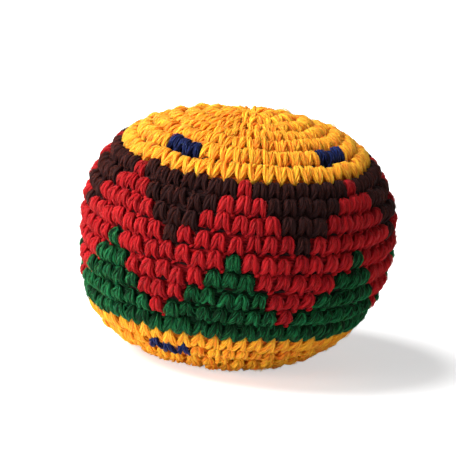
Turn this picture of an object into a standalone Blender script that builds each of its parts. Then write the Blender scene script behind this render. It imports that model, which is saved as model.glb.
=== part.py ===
"""A crocheted footbag: a soft round bag worked in single crochet, filled with plastic pellets.

The cover is worked from the crown down in joined rounds, and changes yarn to draw its pattern:
a gold crown with blue spots, a zigzag band of brown, red and green, and a gold base with blue spots.
Each area of one yarn is its own shell, cut along the edges of its stitches.
The bag stands on its flattened base, +Z up along its axis. All lengths are in metres.
"""

import math

import bmesh
import bpy
from mathutils import Vector

# Form of the filled bag
WAIST_RADIUS = 0.027
WAIST_HEIGHT = 0.02185
CROWN_RISE = 0.0204
FLAT_RADIUS = 0.0117
CROWN_FULLNESS = 2.58
BASE_FULLNESS = 2.34

# Crocheted wall
WALL = 0.0026
ROUND_PITCH = 0.0034
BAND_ABOVE_WAIST = 0.0161
RIDGE_HEIGHT = 0.0003
GAP = 0.0003

# Rounds and stitches
REPEATS = 7
REPEAT_STITCHES = 8
STITCHES = REPEATS * REPEAT_STITCHES
TRIANGLE_WIDTHS = (7, 5, 3, 1)
CROWN_ROUNDS = 7
BASE_ROUNDS = 7
SPOT_ROUND = 1
SPOT_ROUND_STITCHES = 48
SPOT_STITCHES = 3
CROWN_SPOTS = 4
BASE_SPOTS = 3
CROWN_SPOT_AZIMUTH = math.radians(-36.5)
BASE_SPOT_AZIMUTH = math.radians(-26.8)

# Start and end of the work
START_RING_RADIUS = 0.0013
START_RING_YARN = 0.0011
START_SETBACK = 0.005
SETBACK_FALL = 2
SETBACK_EASE = 8
KNOT_RADIUS = 0.0016
KNOT_HEIGHT = 0.0024
KNOT_ROUNDING = 0.0006

# Yarns carried behind the stitches, and the filling
CARRIED_THICKNESS = 0.0008
CARRIED_SETBACK = 0.0008

# Detail of the turned faces
OUTLINE_STEPS = 240
TURN_STEPS = 48
SMALL_PART_STEPS = 24
FILL_RINGS = 12
BAND_RINGS = 6
SPOT_RINGS = 2
SHARP_ANGLE = math.radians(50)
MERGE_DISTANCE = 0.00001

GOLD = "#F7A824"
BROWN = "#2E1A1B"
RED = "#C8202A"
GREEN = "#0B5A33"
BLUE = "#17206B"
NATURAL = "#E8E4DA"

BASE_DEPTH = WAIST_HEIGHT / (1 - (FLAT_RADIUS / WAIST_RADIUS) ** BASE_FULLNESS) ** (1 / BASE_FULLNESS)


def clear_scene():
    for item in list(bpy.data.objects):
        bpy.data.objects.remove(item, do_unlink=True)


def new_collection(name):
    collection = bpy.data.collections.new(name)
    bpy.context.scene.collection.children.link(collection)
    return collection


def linear(channel):
    return channel / 12.92 if channel <= 0.04045 else ((channel + 0.055) / 1.055) ** 2.4


def colour_of(hex_colour):
    return [linear(int(hex_colour[i : i + 2], 16) / 255) for i in (1, 3, 5)] + [1.0]


def yarn_material(name, hex_colour, roughness=0.85):
    material = bpy.data.materials.new(name)
    material.use_nodes = True
    shader = material.node_tree.nodes["Principled BSDF"]
    shader.inputs["Base Color"].default_value = colour_of(hex_colour)
    shader.inputs["Roughness"].default_value = roughness
    shader.inputs["Metallic"].default_value = 0.0
    material.diffuse_color = colour_of(hex_colour)
    return material


def crown_point(turn):
    """A point (radius, height) above the waist, from the waist at 0 to the top at a quarter turn."""
    radius = WAIST_RADIUS * math.cos(turn) ** (2 / CROWN_FULLNESS)
    return radius, WAIST_HEIGHT + CROWN_RISE * math.sin(turn) ** (2 / CROWN_FULLNESS)


def base_point(turn):
    """A point (radius, height) below the waist, where the full curve would close at a quarter turn."""
    radius = WAIST_RADIUS * math.cos(turn) ** (2 / BASE_FULLNESS)
    return radius, WAIST_HEIGHT - BASE_DEPTH * math.sin(turn) ** (2 / BASE_FULLNESS)


def outline():
    """The bag's outer outline from the top of the crown to the middle of the flat base."""
    quarter = math.pi / 2
    crown = [crown_point(quarter * (1 - i / OUTLINE_STEPS)) for i in range(OUTLINE_STEPS)]
    crown[0] = (0.0, WAIST_HEIGHT + CROWN_RISE)
    side = [base_point(quarter * i / OUTLINE_STEPS) for i in range(OUTLINE_STEPS)]
    side = [point for point in side if point[1] > 0 and point[0] > FLAT_RADIUS]
    return crown + side + [(FLAT_RADIUS, 0.0), (0.0, 0.0)]


def distances_along(points):
    distances = [0.0]
    for (r0, z0), (r1, z1) in zip(points, points[1:]):
        distances.append(distances[-1] + math.hypot(r1 - r0, z1 - z0))
    return distances


OUTLINE = outline()
DISTANCES = distances_along(OUTLINE)
WAIST_DISTANCE = DISTANCES[OUTLINE_STEPS]
FLAT_DISTANCE = DISTANCES[-2]
POLE_DISTANCE = DISTANCES[-1]
BAND_ROUNDS = 2 * len(TRIANGLE_WIDTHS) + 1
BAND_TOP = WAIST_DISTANCE - BAND_ABOVE_WAIST
BAND_BOTTOM = BAND_TOP + BAND_ROUNDS * ROUND_PITCH
CROWN_HOLE = START_RING_RADIUS + START_RING_YARN + GAP
BASE_HOLE = KNOT_RADIUS + GAP
CARRIED_DEPTH = RIDGE_HEIGHT + WALL + GAP
FILL_DEPTH = CARRIED_DEPTH + CARRIED_THICKNESS + GAP


def outline_at(distance):
    """The point (radius, height) at a distance along the outline from the top of the crown."""
    last = len(OUTLINE) - 2
    i = next((k for k in range(last + 1) if DISTANCES[k + 1] >= distance), last)
    share = (distance - DISTANCES[i]) / (DISTANCES[i + 1] - DISTANCES[i])
    (r0, z0), (r1, z1) = OUTLINE[i], OUTLINE[i + 1]
    return r0 + share * (r1 - r0), z0 + share * (z1 - z0)


def crown_height(radius):
    return WAIST_HEIGHT + CROWN_RISE * (1 - (radius / WAIST_RADIUS) ** CROWN_FULLNESS) ** (1 / CROWN_FULLNESS)


def setback(radius):
    """How far a round of the crown sits behind the axis: most at its start, and nothing where the band begins."""
    share = min(radius / outline_at(BAND_TOP)[0], 1.0)
    return START_SETBACK * (1 - share**SETBACK_FALL) * (1 - share**SETBACK_EASE)


def lay_crown(mesh):
    """Moves a patch of the crown back to where its rounds lie, over the same form."""
    for vert in mesh.verts:
        radius = math.hypot(vert.co.x, vert.co.y)
        depth = crown_height(radius) - vert.co.z
        vert.co.y += setback(radius)
        vert.co.z = crown_height(math.hypot(vert.co.x, vert.co.y)) - depth


def outward(radius, height):
    """The outward direction (radial, vertical) of the bag's form near a point of its outline."""
    across = (radius / WAIST_RADIUS) if radius > 0 else 0.0
    if height >= WAIST_HEIGHT:
        rise = (height - WAIST_HEIGHT) / CROWN_RISE
        radial = across ** (CROWN_FULLNESS - 1) / WAIST_RADIUS
        vertical = rise ** (CROWN_FULLNESS - 1) / CROWN_RISE
    elif radius < FLAT_RADIUS + GAP and height < GAP:
        return 0.0, -1.0
    else:
        drop = (WAIST_HEIGHT - height) / BASE_DEPTH
        radial = across ** (BASE_FULLNESS - 1) / WAIST_RADIUS
        vertical = -(drop ** (BASE_FULLNESS - 1)) / BASE_DEPTH
    length = math.hypot(radial, vertical)
    return radial / length, vertical / length


def offset_point(distance, depth):
    """The outline's point at a distance along it, moved straight in by a depth."""
    radius, height = outline_at(distance)
    radial, vertical = outward(radius, height)
    return max(radius - depth * radial, 0.0), height - depth * vertical


def round_profile(start, pitch):
    """One round's outer profile: a low ridge between its two edges, but flat where the bag stands."""
    edges = [start, start + pitch / 2, start + pitch]
    if start < FLAT_DISTANCE < start + pitch:
        edges.append(FLAT_DISTANCE)
    points = []
    for distance in sorted(edges):
        is_valley = distance in (start, start + pitch) and distance < FLAT_DISTANCE - pitch / 2
        points.append(offset_point(distance, RIDGE_HEIGHT if is_valley else 0.0))
    return points


def turn_run(mesh, profile, first_azimuth, azimuth_step, steps, is_full):
    """Turns a profile through some stitches of a round. Azimuth 0 faces -Y, and grows towards +X."""
    sine, cosine = math.sin(first_azimuth), math.cos(first_azimuth)
    verts = [mesh.verts.new((r * sine, -r * cosine, z)) for r, z in profile]
    edges = [mesh.edges.new(pair) for pair in zip(verts, verts[1:])]
    bmesh.ops.spin(
        mesh,
        geom=verts + edges,
        cent=(0, 0, 0),
        axis=(0, 0, 1),
        angle=azimuth_step * steps,
        steps=steps,
        use_merge=is_full,
    )


def thicken_inwards(mesh, depth):
    """Gives an open patch of the cover its wall, straight in from the bag's form."""
    made = bmesh.ops.extrude_face_region(mesh, geom=mesh.faces[:], use_keep_orig=True)
    for vert in (item for item in made["geom"] if isinstance(item, bmesh.types.BMVert)):
        radius = math.hypot(vert.co.x, vert.co.y)
        radial, vertical = outward(radius, vert.co.z)
        away = Vector((vert.co.x / radius * radial, vert.co.y / radius * radial, vertical))
        vert.co -= away * depth
    bmesh.ops.recalc_face_normals(mesh, faces=mesh.faces[:])


def link_mesh(name, mesh, material, collection):
    data = bpy.data.meshes.new(name)
    mesh.to_mesh(data)
    mesh.free()
    data.materials.append(material)
    data.shade_smooth()
    data.set_sharp_from_angle(angle=SHARP_ANGLE)
    item = bpy.data.objects.new(name, data)
    collection.objects.link(item)
    return item


def yarn_patch(name, runs, material, collection, is_crown=False):
    """One area of the cover. A run is (profile, first azimuth, step, stitches, whether it goes all round)."""
    mesh = bmesh.new()
    for run in runs:
        turn_run(mesh, *run)
    bmesh.ops.remove_doubles(mesh, verts=mesh.verts[:], dist=GAP / 10)
    bmesh.ops.recalc_face_normals(mesh, faces=mesh.faces[:])
    if is_crown:
        lay_crown(mesh)
    rim = bmesh.ops.inset_region(
        mesh, faces=mesh.faces[:], thickness=GAP / 2, use_boundary=True, use_even_offset=True
    )
    bmesh.ops.delete(mesh, geom=rim["faces"], context="FACES")
    thicken_inwards(mesh, WALL)
    return link_mesh(name, mesh, material, collection)


def band_run(round_index, middle_stitch, width):
    """A run of one yarn in a round of the zigzag band, centred on a stitch."""
    step = 2 * math.pi / STITCHES
    profile = round_profile(BAND_TOP + round_index * ROUND_PITCH, ROUND_PITCH)
    first = (middle_stitch - width / 2) * step
    return profile, first, step, width, width == STITCHES


def gold_runs(start, pitch, rounds, spot_index, spot_azimuth, spots):
    """The gold runs of the crown or the base, whose spot round is left open at the spots."""
    step = 2 * math.pi / SPOT_ROUND_STITCHES
    spacing = SPOT_ROUND_STITCHES // spots
    first_azimuth = spot_azimuth + SPOT_STITCHES / 2 * step
    runs = []
    for i in range(rounds):
        profile = round_profile(start + i * pitch, pitch)
        if i != spot_index:
            runs.append((profile, first_azimuth, step, SPOT_ROUND_STITCHES, True))
            continue
        for spot in range(spots):
            first = first_azimuth + spot * spacing * step
            runs.append((profile, first, step, spacing - SPOT_STITCHES, False))
    return runs


def add_spots(name, profile, azimuth, spots, material, collection, is_crown=False):
    step = 2 * math.pi / SPOT_ROUND_STITCHES
    for spot in range(spots):
        first = azimuth + spot * 2 * math.pi / spots - SPOT_STITCHES / 2 * step
        run = (profile, first, step, SPOT_STITCHES, False)
        yarn_patch(f"{name}_{spot + 1}", [run], material, collection, is_crown)


def add_crown(gold, blue, collection):
    hole = CROWN_HOLE - GAP / 2
    pitch = (BAND_TOP - hole) / CROWN_ROUNDS
    spot_index = CROWN_ROUNDS - 1 - SPOT_ROUND
    runs = gold_runs(hole, pitch, CROWN_ROUNDS, spot_index, CROWN_SPOT_AZIMUTH, CROWN_SPOTS)
    yarn_patch("crown_gold", runs, gold, collection, is_crown=True)
    profile = round_profile(hole + spot_index * pitch, pitch)
    add_spots("crown_blue_spot", profile, CROWN_SPOT_AZIMUTH, CROWN_SPOTS, blue, collection, is_crown=True)


def add_base(gold, blue, collection):
    hole = BASE_HOLE - GAP / 2
    pitch = (POLE_DISTANCE - hole - BAND_BOTTOM) / BASE_ROUNDS
    runs = gold_runs(BAND_BOTTOM, pitch, BASE_ROUNDS, SPOT_ROUND, BASE_SPOT_AZIMUTH, BASE_SPOTS)
    yarn_patch("base_gold", runs, gold, collection)
    profile = round_profile(BAND_BOTTOM + SPOT_ROUND * pitch, pitch)
    add_spots("base_blue_spot", profile, BASE_SPOT_AZIMUTH, BASE_SPOTS, blue, collection)


def add_band(brown, red, green, collection):
    """The zigzag: brown triangles hang from the crown, green ones stand on the base, red runs between."""
    depth = len(TRIANGLE_WIDTHS)
    half = REPEAT_STITCHES // 2
    red_runs, green_runs = [], [band_run(2 * depth, (STITCHES - 1) / 2, STITCHES)]
    for repeat in range(REPEATS):
        column = repeat * REPEAT_STITCHES
        widths = list(enumerate(TRIANGLE_WIDTHS))
        brown_runs = [band_run(i, column + half, width) for i, width in widths]
        yarn_patch(f"brown_triangle_{repeat + 1}", brown_runs, brown, collection)
        red_runs += [band_run(i, column, REPEAT_STITCHES - width) for i, width in widths]
        red_runs += [band_run(depth + i, column + half, width) for i, width in widths]
        green_runs += [band_run(depth + i, column, REPEAT_STITCHES - width) for i, width in widths]
    yarn_patch("red_zigzag", red_runs, red, collection)
    yarn_patch("green_zigzag", green_runs, green, collection)


def add_turned(name, profile, material, collection, thickness=0.0):
    """A profile from top to bottom turned about the axis, or a ring of some thickness where it is open."""
    mesh = bmesh.new()
    verts = [mesh.verts.new((radius, 0.0, height)) for radius, height in profile]
    for pair in zip(verts, verts[1:]):
        mesh.edges.new(pair)
    item = link_mesh(name, mesh, material, collection)
    screw = item.modifiers.new("turn", "SCREW")
    screw.steps = screw.render_steps = TURN_STEPS
    screw.use_merge_vertices = True
    screw.merge_threshold = MERGE_DISTANCE
    if thickness:
        wall = item.modifiers.new("wall", "SOLIDIFY")
        wall.thickness = thickness
        wall.offset = -1.0
    return item


def carried_profile(start, end, rings):
    """The inner face of the cover between two places along the outline, a gap inside it."""
    places = [start + (end - start) * i / rings for i in range(rings + 1)]
    return [offset_point(place, CARRIED_DEPTH) for place in places]


def add_carried_yarns(blue, mixed, collection):
    """Yarn that a round doesn't show runs on behind its stitches, as one thin layer inside the cover."""
    start, end = BAND_TOP + CARRIED_SETBACK, BAND_BOTTOM - CARRIED_SETBACK
    profile = carried_profile(start, end, BAND_RINGS)
    add_turned("carried_band_yarns", profile, mixed, collection, CARRIED_THICKNESS)
    crown_pitch = (BAND_TOP - CROWN_HOLE + GAP / 2) / CROWN_ROUNDS
    crown_end = BAND_TOP - SPOT_ROUND * crown_pitch
    profile = carried_profile(crown_end - crown_pitch, crown_end - CARRIED_SETBACK, SPOT_RINGS)
    add_turned("carried_crown_blue", profile, blue, collection, CARRIED_THICKNESS)
    base_pitch = (POLE_DISTANCE - BASE_HOLE + GAP / 2 - BAND_BOTTOM) / BASE_ROUNDS
    base_start = BAND_BOTTOM + SPOT_ROUND * base_pitch
    profile = carried_profile(base_start + CARRIED_SETBACK, base_start + base_pitch, SPOT_RINGS)
    add_turned("carried_base_blue", profile, blue, collection, CARRIED_THICKNESS)


def add_filling(natural, collection):
    """The heap of pellets that fills the cover, as one solid body."""
    places = [POLE_DISTANCE * i / FILL_RINGS for i in range(1, FILL_RINGS)]
    sides = [offset_point(place, FILL_DEPTH) for place in places]
    profile = [(0.0, WAIST_HEIGHT + CROWN_RISE - FILL_DEPTH)] + sides + [(0.0, FILL_DEPTH)]
    add_turned("pellet_fill", profile, natural, collection)


def add_start_ring(gold, collection):
    """The drawn-up ring of yarn that the first round is worked into."""
    back = setback(CROWN_HOLE)
    bpy.ops.mesh.primitive_torus_add(
        location=(0, back, crown_height(back) - START_RING_YARN),
        major_radius=START_RING_RADIUS,
        minor_radius=START_RING_YARN,
        major_segments=SMALL_PART_STEPS,
        minor_segments=10,
    )
    place_primitive("start_ring", gold, collection)


def add_closing_knot(gold, collection):
    """The yarn's end, drawn through the last round, knotted and pressed flat with the base."""
    bpy.ops.mesh.primitive_cylinder_add(
        vertices=SMALL_PART_STEPS, radius=KNOT_RADIUS, depth=KNOT_HEIGHT, location=(0, 0, KNOT_HEIGHT / 2)
    )
    knot = place_primitive("closing_knot", gold, collection)
    rounding = knot.modifiers.new("rounding", "BEVEL")
    rounding.width = KNOT_ROUNDING
    rounding.segments = 3


def place_primitive(name, material, collection):
    item = bpy.context.object
    item.name = name
    item.data.name = name
    item.data.materials.append(material)
    item.data.shade_smooth()
    item.data.set_sharp_from_angle(angle=SHARP_ANGLE)
    for other in list(item.users_collection):
        other.objects.unlink(item)
    collection.objects.link(item)
    return item


def main():
    clear_scene()
    collection = new_collection("footbag")
    gold = yarn_material("gold_yarn", GOLD)
    brown = yarn_material("brown_yarn", BROWN)
    red = yarn_material("red_yarn", RED)
    green = yarn_material("green_yarn", GREEN)
    blue = yarn_material("blue_yarn", BLUE)
    carried = yarn_material("carried_yarns", BROWN)
    natural = yarn_material("pellets", NATURAL, roughness=0.4)
    add_crown(gold, blue, collection)
    add_band(brown, red, green, collection)
    add_base(gold, blue, collection)
    add_carried_yarns(blue, carried, collection)
    add_filling(natural, collection)
    add_start_ring(gold, collection)
    add_closing_knot(gold, collection)


main()
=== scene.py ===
"""The looks of a crocheted footbag: yarn stitches worked round a stuffed bag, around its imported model.

Every stitch is drawn as its yarn runs: up one leg, over the top and down the other leg. The rounds run
from the crown down to the base. A round's yarn goes on unbroken through the stitches of one colour.
All lengths are in metres. Azimuth 0 faces -Y and grows towards +X.
"""

import math
from collections import namedtuple

import bpy
import numpy as np
from mathutils import Matrix, Vector


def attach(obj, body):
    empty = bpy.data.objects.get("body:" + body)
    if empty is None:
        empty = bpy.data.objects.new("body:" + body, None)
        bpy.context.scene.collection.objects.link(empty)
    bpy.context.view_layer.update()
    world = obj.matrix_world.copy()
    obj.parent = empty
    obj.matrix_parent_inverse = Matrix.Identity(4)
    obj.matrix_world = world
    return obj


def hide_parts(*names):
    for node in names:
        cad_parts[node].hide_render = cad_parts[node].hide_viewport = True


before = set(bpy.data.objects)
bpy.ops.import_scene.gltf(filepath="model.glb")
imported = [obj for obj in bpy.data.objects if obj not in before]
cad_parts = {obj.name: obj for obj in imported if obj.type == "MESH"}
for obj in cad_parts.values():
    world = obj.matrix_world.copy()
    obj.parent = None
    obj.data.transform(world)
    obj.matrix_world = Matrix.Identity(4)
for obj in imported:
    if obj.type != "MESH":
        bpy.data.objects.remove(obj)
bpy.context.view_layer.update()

MM = 0.001

# Form of the filled bag, as in its model
WAIST_RADIUS = 27 * MM
WAIST_HEIGHT = 21.85 * MM
CROWN_RISE = 20.4 * MM
FLAT_RADIUS = 11.7 * MM
CROWN_FULLNESS = 2.58
BASE_FULLNESS = 2.34
ROUND_PITCH = 3.4 * MM
BAND_ABOVE_WAIST = 16.1 * MM
CROWN_HOLE = 2.55 * MM
BASE_HOLE = 1.75 * MM
START_RING_RADIUS = 1.3 * MM
START_RING_DEPTH = 1.1 * MM
START_SETBACK = 5 * MM
SETBACK_FALL = 2
SETBACK_EASE = 8
KNOT_RADIUS = 1.6 * MM
KNOT_HEIGHT = 2.4 * MM
FILL_DEPTH = 4.3 * MM

# The outline: points on each half, the step it is drawn again at, and the steps that ease a corner
OUTLINE_POINTS = 400
OUTLINE_STEP = 0.05 * MM
OUTLINE_BLUR = 41

# Rounds and stitches
REPEATS = 7
REPEAT_STITCHES = 8
STITCHES = REPEATS * REPEAT_STITCHES
TRIANGLE_WIDTHS = (7, 5, 3, 1)
BAND_ROUNDS = 2 * len(TRIANGLE_WIDTHS) + 1
CROWN_COUNTS = (8, 16, 24, 32, 40, 48, 56)
BASE_COUNTS = (56, 48, 40, 32, 24, 16, 8)
SPOT_ROUND = 1
SPOT_ROUND_STITCHES = 48
SPOT_STITCHES = 3
CROWN_SPOTS = 4
BASE_SPOTS = 3
CROWN_SPOT_AZIMUTH = math.radians(-36.5)
BASE_SPOT_AZIMUTH = math.radians(-24.8)

# Hand of the work: each round sits a little back from the last, and no two stitches are quite alike
DRIFT_SHARE = -0.07
DRIFT_START_SHARE = 0.17
PLACE_JITTER_SHARE = 0.065
LEAN_JITTER_SHARE = 0.06
THICKNESS_JITTER_SHARE = 0.09
LOOP_DEPTH_JITTER_SHARE = 0.08
HOOP_DEPTH_JITTER_SHARE = 0.05
# Jitters of a stitch's depth, in yarn radii
EVEN_DEPTH_JITTER = 0.08
ROUGH_DEPTH_JITTER = 0.16
# A stitch's shift fades towards its bends, where it joins the next stitch
SHIFT_FALL = 1.2
# How loosely a round is worked: the base is slacker than the rest
FIRM_WORK = 1.0
SLACK_WORK = 2.2

# How the filled bag lies: pellets press lumps into its cover, the base leans and the crown is slack
LUMP_HEIGHT = 0.2 * MM
LUMP_LENGTH = 9 * MM
LUMP_FADE_HEIGHT = 6 * MM
SINK = 0.2 * MM
PRESSED_HEIGHT = 0.7 * MM
TOP_SHIFT = 0.55 * MM
BASE_SHIFT = -1.2 * MM
CROWN_SAG_REACH = 6 * MM
CROWN_TILT_REACH = 9 * MM
CROWN_CREST = 8 * MM
CROWN_FRONT_RISE = 0.2 * MM
CROWN_BACK_SAG = 1.1 * MM

# Yarn
YARN_RADIUS = 0.67 * MM
YARN_WIDTH_SHARE = 0.232
LOOP_RADIUS = 0.45 * MM
CARRIED_RADIUS = 0.36 * MM
START_RING_YARN = 0.9 * MM
KNOT_YARN = 0.42 * MM
RING_POINTS = 24
KNOT_POINTS = 48

# Plies: how many, and for each number their radius and their distance from the yarn's middle
PLIES = 4
GOLD_PLIES = 5
BAR_PLIES = 3
THIN_PLIES = 2
PLY_SHARES = {2: (0.62, 0.42), 3: (0.54, 0.47), 4: (0.46, 0.56), 5: (0.40, 0.61)}
TWIST_LENGTH = 12 * MM
BEVEL_RESOLUTION = 1
PLY_SIDES = 4 + 2 * BEVEL_RESOLUTION
FACE_CORNERS = 4

# Loose fibres: how far they turn round the yarn, and how far they stand off its middle
FIBRES_PER_STITCH = 20
FIBRE_POINTS = 4
FIBRE_RADIUS = 0.035 * MM
FIBRE_TURN = 0.7
FIBRE_SWERVE = 0.8
FIBRE_START_SHARES = (0.95, 1.1)
FIBRE_END_SHARES = (1.0, 1.45)

# Shades, which the finish turns to colour: 0 is painted shade deep between the stitches, and 1 a painted
# highlight
MIDDLE_SHADE = 0.5
# Painted shade on the bars and carried strands behind the stitches
PAINTED_BAR_SHADE = 0.2
# Painted highlights: the loose fibres are coloured lighter than their yarn, each by a random amount more
PAINTED_FIBRE_HIGHLIGHT = 0.62
FIBRE_LIGHT = 0.4
# Painted highlight: the loops at the stitches' feet are coloured lighter
LOOP_LIGHT = 0.1
TINT_JITTER = 0.06
PLY_TINT_JITTER = 0.13
# Painted shade: a yarn's colour darkens by this much, from this depth and over this distance in yarn
# radii
PAINTED_DEEP_SHADE = 0.35
PAINTED_SHADE_START = 1.0
PAINTED_SHADE_REACH = 1.5

# Each piece draws from its own seed. The blue pieces take theirs from the gold piece's, counted on
CROWN_SEED = 1
BASE_SEED = 11
BLUE_SEED_STEP = 2
BROWN_SEED = 20
RED_SEED = 31
GREEN_SEED = 32
CARRIED_BAND_SEED = 41
CARRIED_SPOT_SEED = 42
START_RING_SEED = 51
KNOT_SEED = 52
PELLET_SEED = 61

# One stitch from the hidden bend before its left leg to its top, mirrored for the right leg:
# across and down as shares of its width and height, depth in yarn radii, and thickness as a share
CLOSED_STITCH_SHARES = (
    (-0.50, 1.02, 3.20, 0.52),
    (-0.42, 0.93, 2.60, 0.72),
    (-0.32, 0.80, 1.80, 0.87),
    (-0.23, 0.62, 1.02, 0.98),
    (-0.19, 0.40, 0.62, 1.03),
    (-0.165, 0.21, 0.76, 0.99),
    (-0.10, 0.10, 1.20, 0.87),
    (0.0, 0.07, 1.65, 0.72),
)
OPEN_STITCH_SHARES = (
    (-0.50, 1.02, 3.00, 0.60),
    (-0.41, 0.96, 2.30, 0.80),
    (-0.33, 0.82, 1.40, 0.98),
    (-0.265, 0.58, 0.85, 1.08),
    (-0.22, 0.35, 0.70, 1.12),
    (-0.17, 0.15, 1.00, 1.04),
    (-0.09, 0.02, 1.60, 0.88),
    (0.0, -0.02, 2.30, 0.66),
)
# Where the yarn changes next, a round's feet show as points between the tops of the next round
FOOTED_STITCH_SHARES = (
    (-0.50, 1.09, 1.80, 0.46),
    (-0.44, 0.96, 1.42, 0.76),
    (-0.35, 0.78, 1.04, 0.93),
    (-0.265, 0.55, 0.85, 1.05),
    (-0.20, 0.34, 0.70, 1.07),
    (-0.165, 0.15, 1.05, 1.00),
    (-0.095, 0.03, 1.95, 0.84),
    (0.0, 0.00, 2.90, 0.60),
)
# Where the base begins, its stitches stand as points on the last round of the band
POINTED_STITCH_SHARES = (
    (-0.50, 1.04, 2.20, 0.62),
    (-0.43, 0.90, 1.60, 0.86),
    (-0.34, 0.69, 1.05, 1.04),
    (-0.24, 0.44, 0.85, 1.06),
    (-0.155, 0.20, 0.80, 0.94),
    (-0.085, -0.02, 0.95, 0.78),
    (-0.035, -0.20, 1.30, 0.60),
    (0.0, -0.28, 2.10, 0.45),
)
# The blue marks of the base are thinner strokes, with gold between them
MARK_STITCH_SHARES = (
    (-0.50, 1.10, 3.00, 0.40),
    (-0.43, 1.10, 1.80, 0.60),
    (-0.34, 0.86, 0.95, 0.78),
    (-0.25, 0.54, 0.70, 0.82),
    (-0.16, 0.24, 0.65, 0.80),
    (-0.09, 0.00, 0.85, 0.70),
    (-0.04, -0.16, 1.25, 0.56),
    (0.0, -0.22, 2.00, 0.42),
)
# The strand of a stitch's top loop that shows at its foot, between the next round's tops
LOOP_SHARES = (
    (0.30, 1.12, 2.90, 0.55),
    (0.37, 1.06, 1.90, 0.80),
    (0.46, 1.00, 1.60, 0.90),
    (0.55, 0.94, 1.90, 0.80),
    (0.61, 0.88, 2.90, 0.55),
)
# The bars behind a round: how far down and how deep each runs, and its thickness.
# Gold ones are thinner and nearer to the legs. In the crown's round of spots they leave a hole at each
# stitch's foot, and bare ones show between the strokes of the base's marks
BAR_SHARES = ((0.16, 2.6, 1.1), (0.49, 2.6, 1.1), (0.82, 3.1, 1.1))
GOLD_BAR_SHARES = ((0.25, 1.9, 0.85), (0.55, 2.0, 0.85), (0.85, 2.1, 0.85))
HOLED_BAR_SHARES = ((0.18, 1.9, 0.85), (0.41, 1.95, 0.85), (0.64, 2.0, 0.85))
BARE_BAR_SHARES = ((0.15, 1.8, 0.9), (0.45, 1.8, 0.9), (0.75, 1.8, 0.9))
# A bar keeps its thickness up to this share of a stitch from its end
BLUNT_END_SHARE = 0.06

# Carried strands: shares of a round down from its top, or in the crown up from its foot, and depths
CARRIED_BAND_SHARE = 0.88
CARRIED_CROWN_SHARE = 0.13
CARRIED_BASE_SHARE = 0.6
CARRIED_BAND_DEPTH = 2.35 * YARN_RADIUS
CARRIED_SPOT_DEPTH = 1.5 * MM

# Pellets, in layers under the cover. Their depths and jitters are shares of their radius
PELLET_RADIUS = 1.4 * MM
PELLET_LENGTH_SHARE = 1.1
PELLET_SPACING = 2.85 * MM
PELLET_LAYERS = 2
FIRST_LAYER_SHARE = 1.2
LAYER_STEP_SHARE = 1.9
PELLET_PLACE_JITTER_SHARE = 0.1
PELLET_DEPTH_JITTER_SHARE = 0.25
PELLET_SEGMENTS = 6
PELLET_RINGS = 4

# Yarn colours: painted shade deep between the stitches, body, painted highlight for the lit streaks,
# sheen, and the sheen's weight
YARN_COLOURS = {
    "gold": ("#D67020", "#F09E2A", "#FBB030", "#FFC850", 0.02),
    "brown": ("#1C0B0B", "#200D0C", "#281210", "#6A5058", 0.0),
    "red": ("#710B11", "#940F15", "#A31F22", "#E08060", 0.01),
    "green": ("#031A0B", "#04260F", "#18673A", "#60A880", 0.01),
    "blue": ("#07081E", "#0A0F30", "#1E2C64", "#6070C0", 0.01),
}
# The shades at which a yarn has its painted shade colour, its body and its painted highlight colour
RAMP_SHARES = (0.2, 0.5, 0.95)
# How far the fibres' streaks spread a shade: their own tone, which at its ends reaches the painted shade
# and the painted highlight colours
STREAK_CONTRAST = 2.2
# Streaks are this many millimetres long, this many go round a ply, and they slant a little
STREAK_MILLIMETRES = 2.0
STREAKS_ROUND = 7.0
STREAK_SLANT = 0.02
STREAK_RELIEF = 0.12 * MM
# Each strand's streaks start at another place, in millimetres
STREAK_START = 7.3
STREAK_STARTS = 97
# Clouds of 3.3 mm in the pellets' white
CLOUDS_PER_METRE = 300.0

# Camera, from the photograph's outline
IMAGE_SIDE = 456
WAIST_RADIUS_PIXELS = 157.8
WAIST_PIXEL = (234.9, 230.5)
PIXEL = WAIST_RADIUS / WAIST_RADIUS_PIXELS
CAMERA_DISTANCE = 1.08
CAMERA_ELEVATION = math.radians(14.15)
CAMERA_ROLL = math.radians(5.86)
CAMERA_CLIP = (0.01, 20)
SENSOR = 36.0

# White ground: the light of its own that the floor shows the camera, and the sky's light on the bag
FLOOR_GLOW = 0.55
SKY_LIGHT = 0.07
FLOOR_SIDE = 6
FLOOR_DROP = 0.05 * MM

# Lights: place, size and power. The light in the photograph comes from high on the left
LIGHTS = {
    "window_left": ((-0.66, -0.46, 0.09), 0.45, 6.6),
    "overhead": ((-0.50, -0.09, 0.635), 0.65, 14.0),
    "low_card": ((0.20, -0.50, 0.07), 0.12, 0.40),
}


# Form


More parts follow.
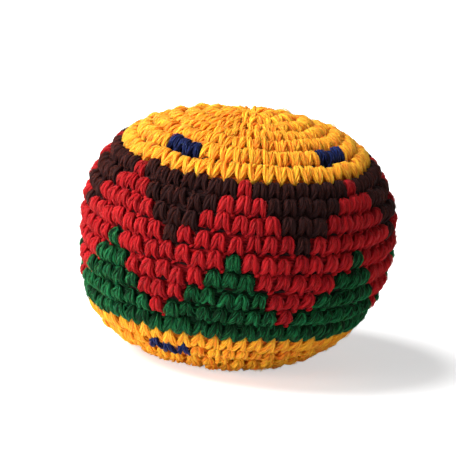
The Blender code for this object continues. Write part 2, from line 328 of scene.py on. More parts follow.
def bag_outline():
    """Places along the bag's outline from its top, with radius, height and outward direction there."""
    quarter = np.linspace(0, math.pi / 2, OUTLINE_POINTS)
    flat_share = FLAT_RADIUS / WAIST_RADIUS
    base_depth = WAIST_HEIGHT / (1 - flat_share**BASE_FULLNESS) ** (1 / BASE_FULLNESS)
    crown_radius = WAIST_RADIUS * np.cos(quarter) ** (2 / CROWN_FULLNESS)
    crown_height = WAIST_HEIGHT + CROWN_RISE * np.sin(quarter) ** (2 / CROWN_FULLNESS)
    side_radius = WAIST_RADIUS * np.cos(quarter) ** (2 / BASE_FULLNESS)
    side_height = WAIST_HEIGHT - base_depth * np.sin(quarter) ** (2 / BASE_FULLNESS)
    on_side = (side_height > 0) & (side_radius > FLAT_RADIUS)
    radius = np.concatenate([crown_radius[::-1], side_radius[on_side], [FLAT_RADIUS, 0.0]])
    height = np.concatenate([crown_height[::-1], side_height[on_side], [0.0, 0.0]])
    along = np.concatenate([[0.0], np.cumsum(np.hypot(np.diff(radius), np.diff(height)))])
    places = np.arange(0.0, along[-1], OUTLINE_STEP)
    radius, height = np.interp(places, along, radius), np.interp(places, along, height)
    blur = np.ones(OUTLINE_BLUR) / OUTLINE_BLUR
    ends = len(blur) // 2
    for values in (radius, height):
        smooth = np.convolve(np.pad(values, ends, mode="edge"), blur, mode="valid")
        inner = slice(2 * ends, -2 * ends)
        values[inner] = smooth[inner]
    run_radius, run_height = np.gradient(radius), np.gradient(height)
    length = np.hypot(run_radius, run_height)
    waist = along[len(quarter) - 1]
    return places, radius, height, -run_height / length, run_radius / length, waist


PLACES, RADII, HEIGHTS, OUT_ACROSS, OUT_UP, WAIST_PLACE = bag_outline()
BAND_TOP = WAIST_PLACE - BAND_ABOVE_WAIST
BAND_BOTTOM = BAND_TOP + BAND_ROUNDS * ROUND_PITCH
POLE_PLACE = PLACES[-1]
CROWN_PITCH = (BAND_TOP - CROWN_HOLE) / len(CROWN_COUNTS)
BASE_PITCH = (POLE_PLACE - BASE_HOLE - BAND_BOTTOM) / len(BASE_COUNTS)
CROWN_EDGE_RADIUS = np.interp(BAND_TOP, PLACES, RADII)
ON_CROWN = PLACES <= WAIST_PLACE


def lumps(points):
    """Low swells where the pellets press on the cover, from uneven waves so that none repeats."""
    x, y, z = (points / LUMP_LENGTH).T
    swell = np.sin(2.1 * x + 1.3 * z) * np.cos(1.7 * y - 0.8 * x) + np.sin(2.6 * z + 1.9 * y + 0.7)
    return LUMP_HEIGHT * swell / 2


def setback(radius):
    """How far a round of the crown sits behind the axis: most at its start, nothing at the band."""
    share = np.minimum(radius / CROWN_EDGE_RADIUS, 1)
    return START_SETBACK * (1 - share**SETBACK_FALL) * (1 - share**SETBACK_EASE)


def lay_crown(place, azimuth):
    """Where points of the crown's rounds lie on the form, once the crown's start is set back."""
    radius = np.interp(place, PLACES, RADII)
    across, back = radius * np.sin(azimuth), setback(radius) - radius * np.cos(azimuth)
    laid = np.interp(np.hypot(across, back), RADII[ON_CROWN], PLACES[ON_CROWN])
    is_crown = place < BAND_TOP
    return np.where(is_crown, laid, place), np.where(is_crown, np.arctan2(across, -back), azimuth)


def on_bag(place, azimuth, depth):
    """Points at places along the outline, azimuths and depths, and the outward direction of each."""
    place, azimuth = lay_crown(place, azimuth)
    across, up = np.interp(place, PLACES, OUT_ACROSS), np.interp(place, PLACES, OUT_UP)
    sine, cosine = np.sin(azimuth), np.cos(azimuth)
    outward = np.stack([across * sine, -across * cosine, up], axis=1)
    radius = np.interp(place, PLACES, RADII)
    surface = np.stack([radius * sine, -radius * cosine, np.interp(place, PLACES, HEIGHTS)], axis=1)
    above_floor = np.clip(surface[:, 2] / LUMP_FADE_HEIGHT, 0, 1)
    points = surface - outward * (depth + SINK - lumps(surface) * above_floor)[:, None]
    points[:, 0] += settle(surface[:, 2])
    points[:, 2] = np.maximum(points[:, 2] + crown_sag(surface), PRESSED_HEIGHT)
    return points, outward


def settle(height):
    """The sideways lean of the bag as it stands: its base sits to the left of its crown."""
    share = np.clip(height / WAIST_HEIGHT, 0, 1)
    return BASE_SHIFT + (TOP_SHIFT - BASE_SHIFT) * share * share * (3 - 2 * share)


def crown_sag(surface):
    """How the slack crown lies: its front is pushed up a little, and its back sags."""
    radius = np.hypot(surface[:, 0], surface[:, 1])
    on_crown = np.clip((CROWN_EDGE_RADIUS - radius) / CROWN_SAG_REACH, 0, 1)
    on_crown *= surface[:, 2] > WAIST_HEIGHT
    on_crown = on_crown * on_crown * (3 - 2 * on_crown)
    turn = np.clip((CROWN_CREST - surface[:, 1]) / CROWN_TILT_REACH, -1, 1) * math.pi / 2
    forward = np.sin(turn)
    tilt = np.where(forward > 0, CROWN_FRONT_RISE, CROWN_BACK_SAG) * forward
    return on_crown * tilt


# Yarn


class YarnWork:
    """The strands of one piece: a curve object that gathers them, and where each runs."""

    def __init__(self, name, seed):
        self.name = name
        self.chance = np.random.default_rng(seed)
        self.curve = bpy.data.curves.new(name, "CURVE")
        self.curve.dimensions = "3D"
        self.curve.bevel_depth = 1.0
        self.curve.bevel_resolution = BEVEL_RESOLUTION
        self.curve.use_fill_caps = False
        self.strands = []

    def add_strand(self, points, radii, shade, is_ring, material_index):
        spline = self.curve.splines.new("POLY")
        spline.points.add(len(points) - 1)
        spline.points.foreach_set("co", np.column_stack([points, np.ones(len(points))]).ravel())
        spline.points.foreach_set("radius", np.asarray(radii, float))
        spline.use_cyclic_u = is_ring
        spline.use_smooth = True
        self.strands.append((points, shade, is_ring, material_index))

    def add_yarn(self, points, outward, radii, shade, is_ring=False, plies=PLIES, finishes=(0,)):
        """Plies twisted about a path. The ends of an open one are points, so that nothing gapes."""
        before, after = np.roll(points, 1, axis=0), np.roll(points, -1, axis=0)
        if not is_ring:
            before[0], after[-1] = points[0], points[-1]
        tangent = after - before
        tangent /= np.linalg.norm(tangent, axis=1)[:, None]
        side = np.cross(tangent, outward)
        side /= np.linalg.norm(side, axis=1)[:, None]
        over = np.cross(side, tangent)
        steps = np.linalg.norm(np.diff(points, axis=0), axis=1)
        along = np.concatenate([[0.0], np.cumsum(steps)])
        twist = along / TWIST_LENGTH
        if is_ring:
            length = along[-1] + np.linalg.norm(points[0] - points[-1])
            twist = along / length * round(length / TWIST_LENGTH)
        start = self.chance.uniform(0, 1)
        thickness_share, offset_share = PLY_SHARES[plies]
        ply_radii = radii * thickness_share
        if not is_ring:
            ply_radii = ply_radii.copy()
            ply_radii[[0, -1]] = 0.0
        for ply in range(plies):
            angle = (2 * math.pi * (twist + start + ply / plies))[:, None]
            offset = (over * np.cos(angle) + side * np.sin(angle)) * radii[:, None] * offset_share
            ply_shade = np.clip(shade + self.chance.normal(0, PLY_TINT_JITTER), 0, 1)
            finish = finishes[ply % len(finishes)]
            self.add_strand(points + offset, ply_radii, ply_shade, is_ring, finish)

    def add_fibres(self, points, outward, radii, shade, count):
        """Fine loose fibres that follow a yarn for a little way and stand off its face."""
        last = len(points) - FIBRE_POINTS
        for _ in range(count):
            first = self.chance.integers(1, last)
            run = slice(first, first + FIBRE_POINTS)
            tangent = points[first + FIBRE_POINTS - 1] - points[first]
            side = np.cross(tangent, outward[first])
            side /= np.linalg.norm(side)
            start_turn, swerve = self.chance.normal(0, FIBRE_TURN), self.chance.normal(0, FIBRE_SWERVE)
            turn = start_turn + np.linspace(0, swerve, FIBRE_POINTS)
            start_rise, end_rise = (
                self.chance.uniform(*shares) for shares in (FIBRE_START_SHARES, FIBRE_END_SHARES)
            )
            rise = np.linspace(start_rise, end_rise, FIBRE_POINTS)
            away = outward[run] * np.cos(turn)[:, None] + side * np.sin(turn)[:, None]
            path = points[run] + away * (radii[run] * rise)[:, None]
            path[:, 2] = np.maximum(path[:, 2], FIBRE_RADIUS)
            fibre_radii = np.full(FIBRE_POINTS, FIBRE_RADIUS)
            fibre_radii[[0, -1]] = 0.0
            # Painted highlight: each fibre is coloured lighter
            light = np.clip(shade + self.chance.uniform(0, FIBRE_LIGHT), 0, 1)
            self.add_strand(path, fibre_radii, np.full(FIBRE_POINTS, light), False, 0)

    def finish(self, materials, node, slot):
        """Makes the strands one mesh, with the length along each strand and its tone and painted light
        for the finish.
        """
        holder = bpy.data.objects.new(self.name, self.curve)
        bpy.context.scene.collection.objects.link(holder)
        bpy.context.view_layer.update()
        graph = bpy.context.evaluated_depsgraph_get()
        mesh = bpy.data.meshes.new_from_object(holder.evaluated_get(graph))
        bpy.data.objects.remove(holder)
        self.write_lengths(mesh)
        mesh.name = self.name
        mesh.shade_smooth()
        mesh.materials.clear()
        for material in materials:
            mesh.materials.append(material)
        piece = bpy.data.objects.new(self.name, mesh)
        bpy.context.scene.collection.objects.link(piece)
        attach(piece, "root")
        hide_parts(node)
        return piece

    def write_lengths(self, mesh):
        """Writes each corner's way along its strand, in millimetres, and the strand's tone and painted
        light there.
        """
        uv_map = mesh.uv_layers["UVMap"]
        uv = np.zeros(len(mesh.loops) * 2)
        uv_map.uv.foreach_get("vector", uv)
        uv = uv.reshape(-1, 2)
        shades = np.zeros(len(mesh.loops))
        finishes = np.zeros(len(mesh.polygons), np.int32)
        first = 0
        for points, shade, is_ring, material_index in self.strands:
            spans = len(points) if is_ring else len(points) - 1
            last = first + spans * PLY_SIDES * FACE_CORNERS
            closed = np.vstack([points, points[:1]]) if is_ring else points
            steps = np.linalg.norm(np.diff(closed, axis=0), axis=1)
            along = np.concatenate([[0.0], np.cumsum(steps)])
            shade_at = np.append(shade, shade[0]) if is_ring else shade
            position = uv[first:last, 0] * spans
            shades[first:last] = np.interp(position, np.arange(spans + 1), shade_at)
            streak_start = STREAK_START * (first % STREAK_STARTS)
            uv[first:last, 0] = np.interp(position, np.arange(spans + 1), along) / MM + streak_start
            finishes[first // FACE_CORNERS : last // FACE_CORNERS] = material_index
            first = last
        uv_map.uv.foreach_set("vector", uv.ravel())
        mesh.polygons.foreach_set("material_index", finishes)
        attribute = mesh.attributes.new("stitch_shade", "FLOAT", "CORNER")
        attribute.data.foreach_set("value", shades)


def stitch_path(half_shares):
    """A whole stitch's path, without the bend that the next stitch starts with."""
    half = np.array(half_shares)
    other = half[-2:0:-1] * np.array([-1, 1, 1, 1])
    return np.vstack([half, other])


Stitch = namedtuple("Stitch", "path plies depth_jitter bars")
CLOSED_STITCH = Stitch(stitch_path(CLOSED_STITCH_SHARES), PLIES, EVEN_DEPTH_JITTER, BAR_SHARES)
OPEN_STITCH = Stitch(stitch_path(OPEN_STITCH_SHARES), GOLD_PLIES, ROUGH_DEPTH_JITTER, GOLD_BAR_SHARES)
HOLED_STITCH = OPEN_STITCH._replace(bars=HOLED_BAR_SHARES)
FOOTED_STITCH = Stitch(stitch_path(FOOTED_STITCH_SHARES), PLIES, EVEN_DEPTH_JITTER, BAR_SHARES)
POINTED_STITCH = Stitch(stitch_path(POINTED_STITCH_SHARES), GOLD_PLIES, ROUGH_DEPTH_JITTER, BAR_SHARES)
MARK_STITCH = Stitch(stitch_path(MARK_STITCH_SHARES), PLIES, ROUGH_DEPTH_JITTER, ())
LOOP = np.array(LOOP_SHARES)

# A round of stitches: where its top lies along the outline, its height, how many stitches it has, and
# the azimuth of stitch 0
Row = namedtuple("Row", "start pitch count azimuth")


def yarn_radius(row):
    """The yarn's radius in a round, which is drawn tighter where the stitches are narrow."""
    width = 2 * math.pi / row.count * np.interp(row.start + row.pitch / 2, PLACES, RADII)
    return min(YARN_RADIUS, YARN_WIDTH_SHARE * width)


def crochet_run(work, stitch, row, first, stitches, is_ring=False, looseness=FIRM_WORK):
    """Single crochet in one yarn along a round: its arches, and the loop at each stitch's foot."""
    step = 2 * math.pi / row.count
    yarn = yarn_radius(row)
    path = stitch.path
    chance = work.chance
    across, down, depth, thick, shade = [], [], [], [], []
    for k in range(stitches):
        shift = chance.normal(0, PLACE_JITTER_SHARE * looseness, 2)
        swell = 1 + chance.normal(0, THICKNESS_JITTER_SHARE)
        lean = chance.normal(0, LEAN_JITTER_SHARE * looseness)
        tint = np.clip(chance.normal(MIDDLE_SHADE, TINT_JITTER), 0, 1)
        reach = 1 - np.abs(path[:, 0]) * SHIFT_FALL
        across.append(first + k + path[:, 0] + shift[0] * reach + lean * (path[:, 1] - 0.5))
        down.append(path[:, 1] + shift[1])
        depth.append(path[:, 2] + chance.normal(0, stitch.depth_jitter))
        thick.append(path[:, 3] * swell)
        # Painted shade: the deeper parts of each stitch are coloured darker
        shade.append(tint - PAINTED_DEEP_SHADE * np.clip((path[:, 2] - PAINTED_SHADE_START) / PAINTED_SHADE_REACH, 0, 1))
        loop_place = row.start + (LOOP[:, 1] + shift[1]) * row.pitch
        loop_azimuth = row.azimuth + (first + k + LOOP[:, 0] + shift[0]) * step
        loop_depth = LOOP[:, 2] * yarn * (1 + chance.normal(0, LOOP_DEPTH_JITTER_SHARE))
        loop_points, loop_outward = on_bag(loop_place, loop_azimuth, loop_depth)
        loop_radii = LOOP[:, 3] * LOOP_RADIUS * yarn / YARN_RADIUS * swell
        # Painted highlight on the loop
        loop_shade = np.full(len(LOOP), min(tint + LOOP_LIGHT, 1))
        work.add_yarn(loop_points, loop_outward, loop_radii, loop_shade, plies=THIN_PLIES)
    if not is_ring:
        end = path[0]
        across.append([first + stitches + end[0]])
        down.append([end[1]])
        depth.append([end[2]])
        thick.append([end[3]])
        shade.append([MIDDLE_SHADE])
    across, down, depth, thick, shade = map(np.concatenate, (across, down, depth, thick, shade))
    place = row.start + down * row.pitch
    points, outward = on_bag(place, row.azimuth + across * step, depth * yarn)
    work.add_yarn(points, outward, thick * yarn, shade, is_ring, stitch.plies)
    # The loose fibres take a painted highlight
    work.add_fibres(points, outward, thick * yarn, PAINTED_FIBRE_HIGHLIGHT, FIBRES_PER_STITCH * stitches)
    add_bars(work, stitch.bars, row, first, stitches, is_ring)


def add_bars(work, bars, row, first, stitches, is_ring=False):
    """The bars of yarn behind some stitches of a round, which close the gaps between their legs."""
    yarn = yarn_radius(row)
    for down, depth, thickness in bars:
        place = row.start + down * row.pitch
        add_hoop(work, row, place, depth * yarn, thickness * yarn, BAR_PLIES, first, stitches, is_ring)


def add_hoop(work, row, place, depth, radius, plies, first, stitches, is_ring, finishes=(0,)):
    """Yarn that runs level behind some stitches of a round."""
    step = 2 * math.pi / row.count
    count = 2 * stitches
    if is_ring:
        turns = row.azimuth + (first + np.arange(count) / 2) * step
    else:
        inner = np.linspace(BLUNT_END_SHARE, stitches - BLUNT_END_SHARE, count + 1)
        turns = row.azimuth + (first - 0.5 + np.concatenate([[0], inner, [stitches]])) * step
    wave = 1 + work.chance.normal(0, HOOP_DEPTH_JITTER_SHARE, len(turns))
    points, outward = on_bag(np.full(len(turns), place), turns, depth * wave)
    # Painted shade: the yarn behind the stitches is coloured darker
    shade = np.full(len(turns), PAINTED_BAR_SHADE)
    work.add_yarn(points, outward, np.full(len(turns), radius), shade, is_ring, plies, finishes)


# Finishes


def linear(channel):
    return channel / 12.92 if channel <= 0.04045 else ((channel + 0.055) / 1.055) ** 2.4


def colour_of(hex_colour):
    return [linear(int(hex_colour[i : i + 2], 16) / 255) for i in (1, 3, 5)] + [1.0]


def add_node(tree, kind, links=(), **settings):
    """Adds a node, with settings of its own or of its inputs. A link is input, node and its output."""
    node = tree.nodes.new(kind)
    for name, value in settings.items():
        if hasattr(node, name):
            setattr(node, name, value)
        else:
            node.inputs[name.replace("_", " ")].default_value = value
    for target, source, output in links:
        tree.links.new(source.outputs[output], node.inputs[target])
    return node


def yarn_finish(name, deep, body, lit, sheen, sheen_weight):
    """Soft plied cotton yarn with fine fibres streaked along each ply, and painted shade and highlights.
    """
    material = bpy.data.materials.new(name)
    material.use_nodes = True
    tree = material.node_tree
    shader = tree.nodes["Principled BSDF"]
    place = add_node(tree, "ShaderNodeUVMap", uv_map="UVMap")
    lengthwise = add_node(
        tree,
        "ShaderNodeMapping",
        [("Vector", place, "UV")],
        Scale=(1 / STREAK_MILLIMETRES, STREAKS_ROUND, 1.0),
        Rotation=(0, 0, STREAK_SLANT),
    )
    fibres = add_node(
        tree,
        "ShaderNodeTexNoise",
        [("Vector", lengthwise, "Vector")],
        Scale=1.0,
        Detail=3.0,
        Roughness=0.6,
    )
    # Each stitch's tone, with its painted shade and highlights
    stitch = add_node(tree, "ShaderNodeAttribute", attribute_name="stitch_shade")
    spread = add_node(tree, "ShaderNodeMath", [(0, fibres, "Fac")], operation="MULTIPLY_ADD")
    spread.inputs[1].default_value = STREAK_CONTRAST
    spread.inputs[2].default_value = -STREAK_CONTRAST / 2
    mixed = add_node(tree, "ShaderNodeMath", [(0, spread, "Value"), (1, stitch, "Fac")], operation="ADD")
    ramp = add_node(tree, "ShaderNodeValToRGB", [("Fac", mixed, "Value")])
    stops = ramp.color_ramp.elements
    deep_place, body_place, lit_place = RAMP_SHARES
    # The deep colour is a painted shade, and the lit one a painted highlight
    stops[0].position, stops[0].color = deep_place, colour_of(deep)
    stops[1].position, stops[1].color = lit_place, colour_of(lit)
    stops.new(body_place).color = colour_of(body)
    relief = add_node(
        tree, "ShaderNodeBump", [("Height", fibres, "Fac")], Strength=0.8, Distance=STREAK_RELIEF
    )
    tree.links.new(ramp.outputs["Color"], shader.inputs["Base Color"])
    tree.links.new(relief.outputs["Normal"], shader.inputs["Normal"])
    shader.inputs["Roughness"].default_value = 0.75
    shader.inputs["IOR"].default_value = 1.5
    shader.inputs["Specular IOR Level"].default_value = 0.06
    shader.inputs["Subsurface Weight"].default_value = 0.7
    shader.inputs["Subsurface Radius"].default_value = (1.0, 0.5, 0.3)
    shader.inputs["Subsurface Scale"].default_value = 0.7 * MM
    shader.inputs["Sheen Weight"].default_value = sheen_weight
    shader.inputs["Sheen Roughness"].default_value = 0.35
    shader.inputs["Sheen Tint"].default_value = colour_of(sheen)
    return material


def pellet_finish():
    """Moulded polyethylene pellets: a waxy, half-clear white."""
    material = bpy.data.materials.new("natural_polyethylene")
    material.use_nodes = True
    tree = material.node_tree
    shader = tree.nodes["Principled BSDF"]
    place = add_node(tree, "ShaderNodeTexCoord")
    cloud = add_node(tree, "ShaderNodeTexNoise", [("Vector", place, "Object")], Scale=CLOUDS_PER_METRE)
    ramp = add_node(tree, "ShaderNodeValToRGB", [("Fac", cloud, "Fac")])
    ramp.color_ramp.elements[0].color = colour_of("#D9D5CA")
    ramp.color_ramp.elements[1].color = colour_of("#F0EDE4")
    tree.links.new(ramp.outputs["Color"], shader.inputs["Base Color"])
    shader.inputs["Roughness"].default_value = 0.35
    shader.inputs["Subsurface Weight"].default_value = 0.1
    shader.inputs["Subsurface Scale"].default_value = 1 * MM
    return material


# Pieces of the cover


def band_azimuth(round_index):
    share = DRIFT_START_SHARE + DRIFT_SHARE * round_index
    return share * 2 * math.pi / STITCHES


def band_run(work, round_index, middle_stitch, width):
    """A run of one yarn in a round of the zigzag band, centred on a stitch."""
    start = BAND_TOP + round_index * ROUND_PITCH
    row = Row(start, ROUND_PITCH, STITCHES, band_azimuth(round_index))
    is_ring = width == STITCHES
    stitch = FOOTED_STITCH if is_ring else CLOSED_STITCH
    crochet_run(work, stitch, row, middle_stitch - (width - 1) / 2, width, is_ring)


def add_band(brown, red, green):
    """The zigzag: brown triangles hang from the crown, green ones stand on a full round, red between."""
    depth = len(TRIANGLE_WIDTHS)
    half = REPEAT_STITCHES // 2
    pieces = []
    for repeat in range(REPEATS):
        work = YarnWork(f"brown_stitches_{repeat + 1}", BROWN_SEED + repeat)
        for i, width in enumerate(TRIANGLE_WIDTHS):
            band_run(work, i, repeat * REPEAT_STITCHES + half, width)
        pieces.append(work.finish([brown], f"brown_triangle_{repeat + 1}", "brown_yarn"))
    red_work = YarnWork("red_stitches", RED_SEED)
    green_work = YarnWork("green_stitches", GREEN_SEED)
    for repeat in range(REPEATS):
        column = repeat * REPEAT_STITCHES
        for i, width in enumerate(TRIANGLE_WIDTHS):
            band_run(red_work, i, column, REPEAT_STITCHES - width)
            band_run(red_work, depth + i, column + half, width)
            band_run(green_work, depth + i, column, REPEAT_STITCHES - width)
    band_run(green_work, 2 * depth, (STITCHES - 1) / 2, STITCHES)
    pieces.append(red_work.finish([red], "red_zigzag", "red_yarn"))
    pieces.append(green_work.finish([green], "green_zigzag", "green_yarn"))
    return pieces


# A gold end of the bag: its rounds, which of them has the blue spots, and where these sit
End = namedtuple("End", "name start pitch counts spot_index spot_azimuth spots seed")
CROWN = End(
    name="crown",
    start=CROWN_HOLE,
    pitch=CROWN_PITCH,
    counts=CROWN_COUNTS,
    spot_index=len(CROWN_COUNTS) - 1 - SPOT_ROUND,
    spot_azimuth=CROWN_SPOT_AZIMUTH,
    spots=CROWN_SPOTS,
    seed=CROWN_SEED,
)
BASE = End(
    name="base",
    start=BAND_BOTTOM,
    pitch=BASE_PITCH,
    counts=BASE_COUNTS,
    spot_index=SPOT_ROUND,
    spot_azimuth=BASE_SPOT_AZIMUTH,
    spots=BASE_SPOTS,
    seed=BASE_SEED,
)


def add_gold_and_spots(end, gold, blue):
    """The gold rounds of the crown or the base, and the blue spots in one of them."""
    is_crown = end is CROWN
    work = YarnWork(f"gold_{end.name}_stitches", end.seed)
    spacing = SPOT_ROUND_STITCHES // end.spots
    spot_start = end.start + end.spot_index * end.pitch
    spot_row = Row(spot_start, end.pitch, SPOT_ROUND_STITCHES, end.spot_azimuth)
    for i, count in enumerate(end.counts):
        looseness = FIRM_WORK if is_crown or i == 0 else SLACK_WORK
        if i == end.spot_index:
            stitch = HOLED_STITCH if is_crown else CLOSED_STITCH
            stitches = spacing - SPOT_STITCHES
            for spot in range(end.spots):
                first = spot * spacing + (SPOT_STITCHES + 1) / 2
                crochet_run(work, stitch, spot_row, first, stitches, looseness=looseness)
                if not is_crown:
                    add_bars(work, BARE_BAR_SHARES, spot_row, first + stitches, SPOT_STITCHES)
            continue
        stitch = OPEN_STITCH if is_crown else CLOSED_STITCH
        azimuth = work.chance.uniform(0, 1) * 2 * math.pi / count
        if count == STITCHES:
            stitch = FOOTED_STITCH if is_crown else POINTED_STITCH
            azimuth = band_azimuth(-1 if is_crown else BAND_ROUNDS)
        elif is_crown and i == end.spot_index - 1:
            azimuth = end.spot_azimuth
        row = Row(end.start + i * end.pitch, end.pitch, count, azimuth)
        crochet_run(work, stitch, row, 0, count, True, looseness)
    pieces = [work.finish([gold], f"{end.name}_gold", "gold_yarn")]
    step = 2 * math.pi / SPOT_ROUND_STITCHES
    for spot in range(end.spots):
        work = YarnWork(f"blue_{end.name}_stitches_{spot + 1}", end.seed + BLUE_SEED_STEP + spot)
        row = spot_row._replace(azimuth=end.spot_azimuth + spot * spacing * step)
        stitch = CLOSED_STITCH if is_crown else MARK_STITCH
        crochet_run(work, stitch, row, -(SPOT_STITCHES - 1) / 2, SPOT_STITCHES)
        pieces.append(work.finish([blue], f"{end.name}_blue_spot_{spot + 1}", "blue_yarn"))
    return pieces


def add_carried_yarns(brown, red, green, blue):
    """The colours that a round doesn't show run on behind its stitches, and show in the holes there."""
    work = YarnWork("carried_band_strands", CARRIED_BAND_SEED)
    for i in range(BAND_ROUNDS):
        row = Row(BAND_TOP + i * ROUND_PITCH, ROUND_PITCH, STITCHES, 0.0)
        place = BAND_TOP + (i + CARRIED_BAND_SHARE) * ROUND_PITCH
        finishes = (0, 2) if i < len(TRIANGLE_WIDTHS) else (1, 2)
        add_carried_hoop(work, row, place, CARRIED_BAND_DEPTH, finishes)
    pieces = [work.finish([brown, red, green], "carried_band_yarns", "carried_yarns")]
    places = {
        "crown": BAND_TOP - (SPOT_ROUND + CARRIED_CROWN_SHARE) * CROWN_PITCH,
        "base": BAND_BOTTOM + (SPOT_ROUND + CARRIED_BASE_SHARE) * BASE_PITCH,
    }
    for name, place in places.items():
        work = YarnWork(f"carried_{name}_strand", CARRIED_SPOT_SEED)
        row = Row(place, 0.0, SPOT_ROUND_STITCHES, 0.0)
        add_carried_hoop(work, row, place, CARRIED_SPOT_DEPTH, (0,))
        pieces.append(work.finish([blue], f"carried_{name}_blue", "blue_yarn"))
    return pieces


def add_carried_hoop(work, row, place, depth, finishes):
    """Carried strands all the way round, in one finish or in two by turns."""
    add_hoop(work, row, place, depth, CARRIED_RADIUS, THIN_PLIES, 0, row.count, True, finishes)


def add_start_ring(gold):
    """The drawn-up ring of yarn that the first round is worked into."""
    work = YarnWork("start_ring_strands", START_RING_SEED)
    turns = np.arange(RING_POINTS) * 2 * math.pi / RING_POINTS
    place, depth, yarn, shade = (
        np.full(RING_POINTS, value)
        for value in (START_RING_RADIUS, START_RING_DEPTH, START_RING_YARN, MIDDLE_SHADE)
    )
    points, outward = on_bag(place, turns, depth)
    work.add_yarn(points, outward, yarn, shade, True, GOLD_PLIES)
    return [work.finish([gold], "start_ring", "gold_yarn")]


def add_closing_knot(gold):
    """The yarn's end in an overhand knot, a trefoil pressed flat under the base."""
    work = YarnWork("closing_knot_strands", KNOT_SEED)
    turns = np.arange(KNOT_POINTS) * 2 * math.pi / KNOT_POINTS
    reach = (KNOT_RADIUS - KNOT_YARN) / 3
    rise = KNOT_HEIGHT / 2 - KNOT_YARN
    x = reach * (np.sin(turns) + 2 * np.sin(2 * turns)) + BASE_SHIFT
    y = reach * (np.cos(turns) - 2 * np.cos(2 * turns))
    z = KNOT_HEIGHT / 2 - rise * np.sin(3 * turns)
    points = np.column_stack([x, y, z])
    down = np.tile([0.0, 0.0, -1.0], (KNOT_POINTS, 1))
    yarn, shade = np.full(KNOT_POINTS, KNOT_YARN), np.full(KNOT_POINTS, MIDDLE_SHADE)
    work.add_yarn(points, down, yarn, shade, True, THIN_PLIES)
    return [work.finish([gold], "closing_knot", "gold_yarn")]


def add_pellets(natural):
    """The pellets that fill the bag, in the layers next to the cover."""
    bpy.ops.object.select_all(action="DESELECT")
    bpy.ops.mesh.primitive_uv_sphere_add(
        segments=PELLET_SEGMENTS, ring_count=PELLET_RINGS, radius=PELLET_RADIUS
    )
    one = bpy.context.object
    corners = np.array([vert.co for vert in one.data.vertices]) * np.array([1, 1, PELLET_LENGTH_SHARE])
    sides = [list(face.vertices) for face in one.data.polygons]
    bpy.data.objects.remove(one)
    chance = np.random.default_rng(PELLET_SEED)
    verts, faces = [], []
    for layer in range(PELLET_LAYERS):
        depth = FILL_DEPTH + (FIRST_LAYER_SHARE + LAYER_STEP_SHARE * layer) * PELLET_RADIUS
        for place in np.arange(PELLET_RADIUS, POLE_PLACE - PELLET_RADIUS, PELLET_SPACING):
            rim = np.interp(place, PLACES, RADII) - depth * np.interp(place, PLACES, OUT_ACROSS)
            count = int(2 * math.pi * rim / PELLET_SPACING)
            if count < 1:
                continue
            azimuths = (np.arange(count) + chance.uniform(0, 1)) * 2 * math.pi / count
            places = place + chance.normal(0, PELLET_PLACE_JITTER_SHARE, count) * PELLET_RADIUS
            depths = depth + chance.uniform(0, PELLET_DEPTH_JITTER_SHARE, count) * PELLET_RADIUS
            centres, _ = on_bag(places, azimuths, depths)
            for centre in centres:
                turn = Vector(chance.normal(0, 1, 3)).to_track_quat("Z", "Y").to_matrix()
                faces += [[len(verts) + corner for corner in side] for side in sides]
                verts += (corners @ np.array(turn).T + centre).tolist()
    mesh = bpy.data.meshes.new("filling_pellets")
    mesh.from_pydata(verts, [], faces)
    mesh.shade_smooth()
    mesh.materials.append(natural)
    piece = bpy.data.objects.new("filling_pellets", mesh)
    bpy.context.scene.collection.objects.link(piece)
    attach(piece, "root")
    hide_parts("pellet_fill")
    return [piece]


# Studio


def add_camera():
    """The photograph's viewpoint: a little above the bag, which is turned slightly in the frame."""
    sine, cosine = math.sin(CAMERA_ELEVATION), math.cos(CAMERA_ELEVATION)
    back = Vector((0, -cosine, sine))
    level_up = Vector((0, sine, cosine))
    right = math.cos(CAMERA_ROLL) * Vector((1, 0, 0)) + math.sin(CAMERA_ROLL) * level_up
    up = back.cross(right)
    across, down = (place - IMAGE_SIDE / 2 for place in WAIST_PIXEL)
    target = Vector((0, 0, WAIST_HEIGHT)) - right * across * PIXEL + up * down * PIXEL
    camera = bpy.data.objects.new("camera", bpy.data.cameras.new("camera"))
    turn = Matrix((right, up, back)).transposed().to_4x4()
    camera.matrix_world = Matrix.Translation(target + back * CAMERA_DISTANCE) @ turn
    camera.data.sensor_width = SENSOR
    camera.data.lens = SENSOR * CAMERA_DISTANCE / (IMAGE_SIDE * PIXEL)
    camera.data.clip_start, camera.data.clip_end = CAMERA_CLIP
    bpy.context.scene.collection.objects.link(camera)
    bpy.context.scene.camera = camera


def add_light(name, place, size, power):
    lamp = bpy.data.lights.new(name, "AREA")
    lamp.shape = "DISK"
    lamp.size = size
    lamp.energy = power
    holder = bpy.data.objects.new(name, lamp)
    aim = Vector((0, 0, WAIST_HEIGHT)) - Vector(place)
    holder.matrix_world = Matrix.Translation(place) @ aim.to_track_quat("-Z", "Y").to_matrix().to_4x4()
    bpy.context.scene.collection.objects.link(holder)


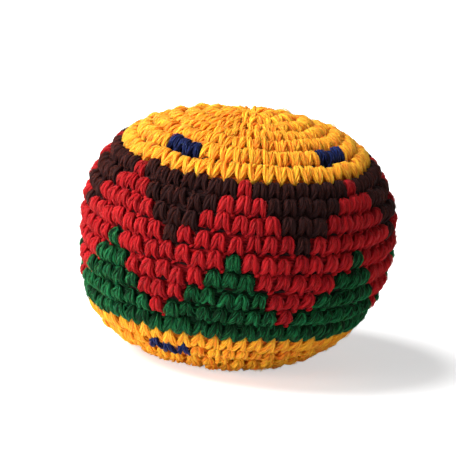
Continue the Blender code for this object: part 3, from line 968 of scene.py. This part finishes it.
def looked_at(tree):
    """One where the camera looks, straight or by way of shiny or clear things, and otherwise nothing."""
    ray = add_node(tree, "ShaderNodeLightPath")
    indirect = [(0, ray, "Is Glossy Ray"), (1, ray, "Is Transmission Ray")]
    indirect = add_node(tree, "ShaderNodeMath", indirect, operation="MAXIMUM")
    either = [(0, ray, "Is Camera Ray"), (1, indirect, "Value")]
    return add_node(tree, "ShaderNodeMath", either, operation="MAXIMUM")


def add_floor():
    """A sweep of matt white paper, which shows as plain white and keeps the bag's soft shadow."""
    bpy.ops.object.select_all(action="DESELECT")
    bpy.ops.mesh.primitive_plane_add(size=FLOOR_SIDE, location=(0, 0, -FLOOR_DROP))
    floor = bpy.context.object
    floor.name = "floor"
    material = bpy.data.materials.new("white_paper_sweep")
    material.use_nodes = True
    tree = material.node_tree
    shader = tree.nodes["Principled BSDF"]
    shader.inputs["Base Color"].default_value = colour_of("#FAFAFA")
    shader.inputs["Roughness"].default_value = 0.9
    shader.inputs["Specular IOR Level"].default_value = 0.1
    strength = add_node(tree, "ShaderNodeMapRange", [("Value", looked_at(tree), "Value")])
    strength.inputs["To Max"].default_value = FLOOR_GLOW
    tree.links.new(strength.outputs["Result"], shader.inputs["Emission Strength"])
    shader.inputs["Emission Color"].default_value = (1, 1, 1, 1)
    floor.data.materials.append(material)


def add_world():
    """A soft even sky for the bag, and plain white wherever the camera looks past it."""
    world = bpy.data.worlds.new("studio")
    bpy.context.scene.world = world
    world.use_nodes = True
    tree = world.node_tree
    background = tree.nodes["Background"]
    background.inputs["Color"].default_value = (1, 1, 1, 1)
    strength = add_node(tree, "ShaderNodeMapRange", [("Value", looked_at(tree), "Value")])
    strength.inputs["To Min"].default_value = SKY_LIGHT
    strength.inputs["To Max"].default_value = 1.0
    tree.links.new(strength.outputs["Result"], background.inputs["Strength"])


def main():
    bpy.context.scene.view_settings.view_transform = "Standard"
    gold, brown, red, green, blue = (
        yarn_finish(f"{name}_cotton_yarn", *colours) for name, colours in YARN_COLOURS.items()
    )
    pieces = add_gold_and_spots(CROWN, gold, blue)
    pieces += add_band(brown, red, green)
    pieces += add_gold_and_spots(BASE, gold, blue)
    pieces += add_carried_yarns(brown, red, green, blue)
    pieces += add_start_ring(gold) + add_closing_knot(gold) + add_pellets(pellet_finish())
    add_camera()
    add_floor()
    add_world()
    for name, (place, size, power) in LIGHTS.items():
        add_light(name, place, size, power)


main()
